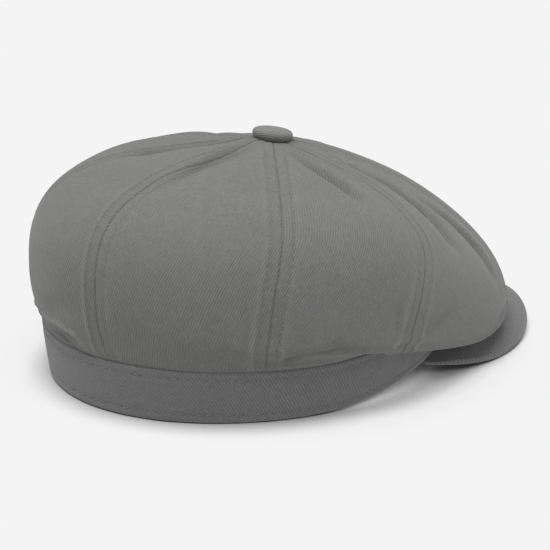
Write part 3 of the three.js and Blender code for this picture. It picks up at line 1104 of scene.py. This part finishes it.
    def surface(self, grid: ClothGrid, out: np.ndarray) -> tuple[np.ndarray, np.ndarray]:
        """The cloth's outer face: the smooth crown moved along the given outward directions.

        Args:
            grid: the stretch of cloth.
            out: the direction at each point.

        Returns:
            The points of the face and their painted light and shade.
        """
        creases = self.crease_depth(grid)
        lift = self.relief(grid) - self.fold_depth(grid) - creases
        return grid.base + out * lift[..., None], self.painted_shading(grid, creases)

    def seating(self, grid: ClothGrid) -> np.ndarray:
        """Moves the cloth's last stretch in and down onto the band's rounded top, by a soft step."""
        last = smooth(1.0 - grid.to_foot / self.seat_length)[..., None]
        return -last * (level_out(grid.angle) * self.seat_in + np.array([0.0, 0.0, self.seat_down]))

    def downs(self) -> np.ndarray:
        """Rows from the tip to the band, closer together near both."""
        upper = np.linspace(0.0, 1.0, self.rows // 2 + 1)[:-1] ** self.crest_spacing
        t = np.linspace(0.0, 1.0, self.rows // 2)
        return np.concatenate([upper, 1.0 + t + self.tuck_crowding * np.sin(np.pi * t)])

    def build_panel(self, index: int) -> None:
        """Makes one panel as a closed wall of cloth between two seams.

        Args:
            index: the panel's number, 1 in front.
        """
        form = self.form
        down = self.downs()
        middle = form.seam_angles(np.array(0.0))[[index - 2, index - 1]]
        middle = (middle.sum() - (360.0 if index == 1 else 0.0)) / 2.0
        down[0] = form.near_tip(form.panel_tip, np.array(middle))
        seams = form.seam_angles(down)
        right = seams[:, index - 1, None]
        left = seams[:, index - 2, None] - (360.0 if index == 1 else 0.0)
        t = np.linspace(0.0, 1.0, self.columns)
        share = t - self.seam_crowding * np.sin(2.0 * np.pi * t)
        angle = left + (right - left) * share
        grid = ClothGrid.lay(form, down[:, None], angle)
        turn = np.radians(angle)
        side = np.stack([np.cos(turn), -np.sin(turn), np.zeros_like(turn)], axis=-1)
        square = (2.0 * share - 1.0) ** self.squaring
        lean = (grid.normal * side).sum(axis=-1) * square
        normal = unit(grid.normal - lean[..., None] * side)
        face, painted_shading = self.surface(grid, normal)
        face = face + self.seating(grid)
        back = face - normal * form.panel_wall
        rings = np.concatenate([back, face[:, ::-1]], axis=1)
        across = run_length(grid.base.swapaxes(0, 1)).T
        along = np.broadcast_to(grid.run[:, self.columns // 2, None], across.shape)
        flat = np.stack([across - across[:, -1:] / 2.0, along], axis=-1)
        flats = np.concatenate([flat, flat[:, ::-1]], axis=1)
        # Painted light and shade of the back and of the face.
        painted_shadings = np.concatenate([painted_shading, painted_shading[:, ::-1]], axis=1)
        piece = mesh_object(f"panel_cloth_{index}", self.place(rings),
                            ring_faces(len(down), 2 * self.columns, True), finish_of(self.twill),
                            flats.reshape(-1, 2), painted_shadings)
        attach(piece, BODY)
        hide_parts(f"crown_panel_{index}")

    def build_seam(self, index: int) -> None:
        """Makes the two rows of topstitching beside one seam.

        Args:
            index: the seam's number, 1 at the front's right.
        """
        down = np.linspace(self.row_start, self.row_stop, self.row_steps)[:, None]
        angle = self.form.seam_angles(down[:, 0])[:, index - 1, None]
        inset = self.row_inset / self.form.per_degree(self.form.crown_point(down, angle))
        rows = []
        for side in (-1.0, 1.0):
            grid = ClothGrid.lay(self.form, down, angle + side * inset)
            face = self.surface(grid, grid.normal)[0]
            rows.append(StitchRow(StitchKind.PANEL).build(self.place(face), grid.normal[:, 0]))
        self.stitching.build(f"seam_stitches_{index}", rows, "crown_twill")

    def build(self) -> None:
        """Makes the panels and the stitching, from the front round by the wearer's right."""
        for index in range(1, 2 * len(self.form.leaves) + 1):
            self.build_panel(index)
            self.build_seam(index)


@dataclass
class HeadBand:
    """The doubled band round the head, with a stitched row near each edge."""

    form: CapForm
    place: Place
    steps: int = 760
    edge_inset: float = 4.2
    stitch_steps: int = 900
    face_steps: int = 34
    bend_steps: int = 9
    back_skip: int = 3
    groove: Bell = Bell(-0.28, 0.9)
    pucker: Bell = Bell(0.13, 4.0)
    edge_roll: float = 0.12
    belly: float = 0.35
    unevenness: float = 0.22
    twill: CottonTwill = CottonTwill("band_cotton_twill", colour="#7a7a7a", rib_turn=-28.0,
                                     rib_pitch=1.3, rib_contrast=0.26)
    stitching: Stitching = Stitching()
    broad: WaveField = field(default_factory=lambda: WaveField(21, 60.0))
    fine: WaveField = field(default_factory=lambda: WaveField(22, 12.0))

    def relief(self, points: np.ndarray, height: np.ndarray) -> np.ndarray:
        """Fine shape of the band's face, outward in millimetres.

        A groove under each stitched row, a full roll between a row and its edge, small puckers at
        the rows, a slight belly between them and a soft unevenness.

        Args:
            points: places on the face.
            height: how far up the face each is.

        Returns:
            The height at each point.
        """
        rim = np.minimum(height, self.form.band_height - height)
        roll = self.edge_roll * np.sin(np.pi * np.clip(rim / self.edge_inset, 0.0, 1.0))
        groove = self.groove.at(rim - self.edge_inset)
        pucker = self.fine.at(points) * self.pucker.at(rim - self.edge_inset)
        belly = self.belly * np.sin(np.pi * np.clip(height / self.form.band_height, 0.0, 1.0))
        return groove + roll + pucker + belly + self.unevenness * self.broad.at(points)

    def profile(self) -> tuple[np.ndarray, np.ndarray]:
        """Section of the band as a height and an inset: up the face, over, down the back, under.

        Returns:
            The height and the inset of each point of the closed section.
        """
        wall = self.form.band_wall
        half = wall / 2.0
        tall = self.form.band_height
        face = half + (tall - wall) * np.linspace(0.0, 1.0, self.face_steps)
        bend = np.linspace(0.0, np.pi, self.bend_steps)[1:-1]
        inner = face[::self.back_skip][::-1]
        height = np.concatenate([face, tall - half + half * np.sin(bend), inner,
                                 half - half * np.sin(bend)])
        inset = np.concatenate([np.zeros_like(face), half - half * np.cos(bend),
                                np.full_like(inner, wall), half + half * np.cos(bend)])
        return height, inset

    def build(self) -> None:
        """Makes the band and its two rows of stitching."""
        form = self.form
        height, inset = self.profile()
        angle = np.linspace(180.0, -180.0, self.steps)[:, None]
        share = np.broadcast_to(height / form.band_height, (self.steps, len(height)))
        points = form.band_point(np.broadcast_to(angle, share.shape), share, inset)
        outward = level_out(angle)
        faces_out = smooth(1.0 - inset / (form.band_wall / 2.0))
        lift = self.relief(points, np.broadcast_to(height, share.shape)) * faces_out
        rings = points + outward * lift[..., None]
        around_band = run_length(form.band_point(angle[:, 0], np.full(self.steps, 0.5), 0.0))
        down = np.broadcast_to(form.band_height - height, share.shape)
        flat = np.stack([np.broadcast_to(-around_band[:, None], share.shape), down], axis=-1)
        faces = ring_faces(self.steps, len(height), False)
        piece = mesh_object("band_cloth", self.place(rings), faces, finish_of(self.twill),
                            flat.reshape(-1, 2))
        join_doubles(piece)
        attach(piece, BODY)
        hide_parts("band")
        rows = []
        turn = np.linspace(180.0, -180.0, self.stitch_steps)
        out = level_out(turn)
        for level in (self.edge_inset, form.band_height - self.edge_inset):
            share = np.full_like(turn, level / form.band_height)
            line = form.band_point(turn, share, 0.0)
            line = line + out * self.relief(line, np.full_like(turn, level))[:, None]
            rows.append(StitchRow(StitchKind.BAND).build(self.place(line), out))
        self.stitching.build("band_stitches", rows, "band_twill")
        LOG.info("band: %.0f mm round, %d faces", around_band[-1], len(piece.data.polygons))


@dataclass
class Peak:
    """The stiff peak: a board between two layers of twill with a rounded rim."""

    form: CapForm
    place: Place
    steps: int = 220
    rows: int = 34
    rim_rows: int = 12
    row_spacing: float = 0.9
    unevenness: float = 0.12
    rim_calm: float = 4.0
    twill: CottonTwill = CottonTwill("peak_cotton_twill", colour="#7a7a7a", rib_turn=53.7,
                                     rib_pitch=1.9, rib_contrast=0.3)
    broad: WaveField = field(default_factory=lambda: WaveField(31, 40.0))

    def build(self) -> None:
        """Makes the peak from sections that start under the band and end at the rim.

        Each section is a straight slope with a sine arch, half the thickness up and down from its
        middle line, and a half round at the rim.
        """
        form = self.form
        turn = np.linspace(-90.0, 90.0, self.steps)
        half = form.thick_at(turn) / 2.0
        angle = form.peak_temple * turn / 90.0
        root = form.oval(form.head_length / 2 - form.band_wall, form.head_width / 2 - form.band_wall,
                         angle, form.foot_lift(angle) - form.seam_gap - half)
        rim = form.rim_point(turn)
        out = (rim - root) * np.array([1.0, 1.0, 0.0])
        width = np.linalg.norm(out, axis=-1)
        out = unit(out)
        share = np.linspace(0.0, 1.0, self.rows) ** self.row_spacing
        middle = root[:, None] + out[:, None] * (share * (width - half)[:, None])[..., None]
        middle[..., 2] = root[:, None, 2] + (rim[:, None, 2] - root[:, None, 2]) * share
        middle[..., 2] += form.peak_arch * np.sin(np.pi * share) * np.cos(np.radians(turn))[:, None] ** 2
        bend = np.linspace(0.0, np.pi, self.rim_rows + 1)[1:-1]
        up = np.array([0.0, 0.0, 1.0])
        nose = middle[:, -1:] + out[:, None] * (half[:, None] * np.sin(bend))[..., None]
        nose = nose + up * (half[:, None] * np.cos(bend))[..., None]
        soft = self.unevenness * self.broad.at(middle)[..., None] * up
        upper = middle + up * half[:, None, None] + soft * smooth(self.rim_calm * (1.0 - share))[:, None]
        lower = middle - up * half[:, None, None]
        rings = np.concatenate([upper, nose, lower[:, ::-1]], axis=1)
        flat = rings[..., :2].copy()
        past_rim = np.linspace(0.0, form.peak_thick, self.rim_rows - 1 + self.rows)[:, None]
        flat[:, self.rows:] += out[:, None, :2] * past_rim
        piece = mesh_object("peak_cloth", self.place(rings),
                            ring_faces(self.steps, rings.shape[1], True), finish_of(self.twill),
                            flat.reshape(-1, 2))
        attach(piece, BODY)
        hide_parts("peak")
        LOG.info("peak: %d faces", len(piece.data.polygons))


@dataclass
class Button:
    """The covered button over the point where the panels meet, with gathers at its lower edge."""

    form: CapForm
    place: Place
    sides: int = 144
    rows: int = 40
    gathers: int = 26
    gather_depth: float = 0.022
    gather_sway: float = 1.4
    gather_top: float = 0.5
    gather_fade: float = 0.3
    sways: int = 3
    under_power: float = 0.3
    over_power: float = 0.5
    height_power: float = 0.9
    map_reach: float = 1.3
    twill: CottonTwill = CottonTwill("button_cotton_twill", colour="#838382", rib_turn=40.0)

    def lift_off(self, edge: np.ndarray) -> np.ndarray:
        """How far the leaning button's foot stands off the crown, round its edge.

        Args:
            edge: a ring of points round the button.

        Returns:
            The height of its foot over the crown, at the button's radius.
        """
        form = self.form
        way = edge[:, :2] + np.array([0.0, form.crown_shift])
        angle = np.degrees(np.arctan2(-way[:, 0], -way[:, 1]))
        down = form.near_tip(form.button_radius, angle)
        nod = math.radians(form.button_nod)
        foot = form.crown_top + form.seam_gap
        foot = foot - form.button_radius * math.sin(nod) * np.cos(np.radians(angle))
        return foot - form.crown_point(down, angle)[:, 2]

    def build(self) -> None:
        """Makes the button: a profile turned round its axis, leaning to the front.

        The profile is a super-ellipse: radius cos^0.5 over the edge and cos^0.3 under it, height
        sin^0.9. Its foot is drawn down to the crown, and the gathers are waves round it that grow
        from the shoulder down.
        """
        form = self.form
        t = np.linspace(0.0, 1.0, self.rows)[:, None]
        turn = np.linspace(0.0, 2.0 * np.pi, self.sides, endpoint=False)[None, :]
        bend = np.pi * (t - 0.5)
        tall = form.button_edge + form.button_dome
        power = np.where(bend < 0.0, self.under_power, self.over_power)
        radius = form.button_radius * np.cos(bend) ** power
        height = tall / 2.0 + tall / 2.0 * np.sign(bend) * np.abs(np.sin(bend)) ** self.height_power
        low = smooth((self.gather_top - t) / self.gather_fade)
        swing = np.sin(self.gathers * turn + self.gather_sway * np.sin(self.sways * turn))
        radius = radius * (1.0 + self.gather_depth * low * swing)
        tall_ring = np.broadcast_to(height, radius.shape)
        points = np.stack([radius * np.cos(turn), radius * np.sin(turn), tall_ring], axis=-1)
        nod = math.radians(form.button_nod)
        turned = np.array(Matrix.Rotation(nod, 3, "X"))
        points = points @ turned.T + np.array([0.0, -form.crown_shift, form.crown_top + form.seam_gap])
        points[..., 2] -= self.lift_off(points[self.rows // 3]) * np.clip(1.0 - height / tall, 0.0, 1.0)
        spread = form.button_radius * self.map_reach * (1.0 - t)
        flat = np.stack([spread * np.cos(turn), spread * np.sin(turn)], axis=-1)
        faces = ring_faces(self.rows, self.sides, False)[:, ::-1]
        piece = mesh_object("button_cloth", self.place(points), faces, finish_of(self.twill),
                            flat.reshape(-1, 2))
        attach(piece, BODY)
        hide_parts("button")
        LOG.info("button: %d faces", len(piece.data.polygons))


@dataclass(frozen=True)
class SoftSun:
    """A far, soft light: where it stands, its power and how wide it looks, in degrees."""

    name: str
    azimuth: float
    elevation: float
    power: float
    spread: float


@dataclass
class Studio:
    """A plain pale floor, soft light from above and both sides, and the camera."""

    place: Place
    azimuth: float = 240.07
    elevation: float = 18.42
    distance: float = 795.0
    aim_right: float = 11.97
    aim_up: float = 37.42
    lens: float = 105.6
    sensor: float = 36.0
    floor_size: float = 40000.0
    floor_colour: str = "#767676"
    floor_glow: float = 0.712
    floor_bounce: float = 0.42
    contact: float = 30.0
    contact_range: tuple[float, float] = (0.25, 0.72)
    enclosed: float = 170.0
    enclosed_range: tuple[float, float] = (0.1, 0.42)
    floor_drop: float = 0.2
    sky: float = 0.28
    sky_colour: str = "#f6f6f6"
    suns: tuple[SoftSun, ...] = (
        SoftSun("top_light", 210.0, 76.0, 2.25, 50.0),
        SoftSun("left_light", 150.0, 35.0, 0.3, 70.0),
        SoftSun("right_light", 320.0, 16.0, 0.6, 60.0),
    )

    def build_floor(self) -> None:
        """Makes the floor: a table lit through from below, which lights the cap less.

        Where the floor is seen, its glow fades close to what touches it, within the contact distance,
        and on the floor that the cap encloses, within the wider one. These are painted shadows.
        """
        half = self.floor_size / 2.0
        low = -self.floor_drop
        points = np.array([[-half, -half, low], [half, -half, low], [half, half, low], [-half, half, low]])
        made, tree = start_material("lit_table_floor")
        rays = add_node(tree, "LightPath")
        face = add_node(tree, "BsdfDiffuse", {"Color": linear(self.floor_colour)})
        glow = self.floor_glow
        fades = ((self.enclosed, self.enclosed_range), (self.contact, self.contact_range))
        # Painted shadows: the glow that the camera sees dims where the cap hides the sky close by.
        for reach, (least, most) in fades:
            open_sky = add_node(tree, "AmbientOcclusion", {"Distance": reach * MM}, samples=16)
            glow = add_node(tree, "MapRange", {
                "Value": open_sky.outputs["AO"], "From Min": least, "From Max": most, "To Max": glow,
            }).outputs[0]
        strength = add_node(tree, "MapRange", {
            "Value": rays.outputs["Is Camera Ray"], "To Min": self.floor_bounce, "To Max": glow,
        })
        lit = add_node(tree, "Emission", {"Strength": strength.outputs[0]})
        both = add_node(tree, "AddShader", {0: face.outputs[0], 1: lit.outputs[0]})
        add_node(tree, "OutputMaterial", {"Surface": both.outputs[0]})
        floor = mesh_object("floor", points, [(0, 1, 2, 3)], made)

    def build_lights(self) -> None:
        """Makes the sky and the soft lights. The sky looks white but lights the cap less."""
        world = bpy.data.worlds.new("studio")
        bpy.context.scene.world = world
        world.use_nodes = True
        tree = world.node_tree
        tree.nodes.clear()
        rays = add_node(tree, "LightPath")
        seen = add_node(tree, "Background", {"Color": linear(self.sky_colour), "Strength": 1.0})
        lit = add_node(tree, "Background", {"Color": (1.0, 1.0, 1.0, 1.0), "Strength": self.sky})
        both = add_node(tree, "MixShader", {0: rays.outputs["Is Camera Ray"], 1: lit.outputs[0],
                                            2: seen.outputs[0]})
        add_node(tree, "OutputWorld", {"Surface": both.outputs[0]})
        for sun in self.suns:
            lamp = bpy.data.lights.new(sun.name, "SUN")
            lamp.energy = sun.power
            lamp.angle = math.radians(sun.spread)
            light = bpy.data.objects.new(sun.name, lamp)
            light.rotation_mode = "QUATERNION"
            light.rotation_quaternion = self.back(sun.azimuth, sun.elevation).to_track_quat("Z", "Y")
            bpy.context.scene.collection.objects.link(light)

    @staticmethod
    def back(azimuth: float, elevation: float) -> Vector:
        """Direction from the cap to a camera or light at an azimuth and elevation in degrees."""
        a, e = math.radians(azimuth), math.radians(elevation)
        return Vector((math.sin(a) * math.cos(e), -math.cos(a) * math.cos(e), math.sin(e)))

    def build_camera(self) -> None:
        """Makes the camera: aimed beside the band's middle, from behind the wearer's right."""
        back = self.back(self.azimuth, self.elevation)
        right = (-back).cross(Vector((0.0, 0.0, 1.0))).normalized()
        up = right.cross(-back)
        aim = Vector((0.0, self.place.middle_y, 0.0)) + right * self.aim_right + up * self.aim_up
        data = bpy.data.cameras.new("camera")
        data.lens = self.lens
        data.sensor_width = self.sensor
        camera = bpy.data.objects.new("camera", data)
        turn = Matrix((right, up, back)).transposed().to_4x4()
        camera.matrix_world = Matrix.Translation((aim + back * self.distance) * MM) @ turn
        data.clip_start = 0.01
        data.clip_end = 100.0
        bpy.context.scene.collection.objects.link(camera)
        bpy.context.scene.camera = camera

    def build(self) -> None:
        """Makes the whole studio."""
        bpy.context.scene.view_settings.view_transform = "Standard"
        self.build_floor()
        self.build_lights()
        self.build_camera()


def main() -> None:
    """Builds the cap, piece by piece, and the studio round it."""
    logging.basicConfig(level=logging.INFO, format="%(name)s: %(message)s")
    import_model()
    form = CapForm()
    place = Place.from_frame()
    Crown(form, place).build()
    HeadBand(form, place).build()
    Peak(form, place).build()
    Button(form, place).build()
    Studio(place).build()


if __name__ == "__main__":
    main()
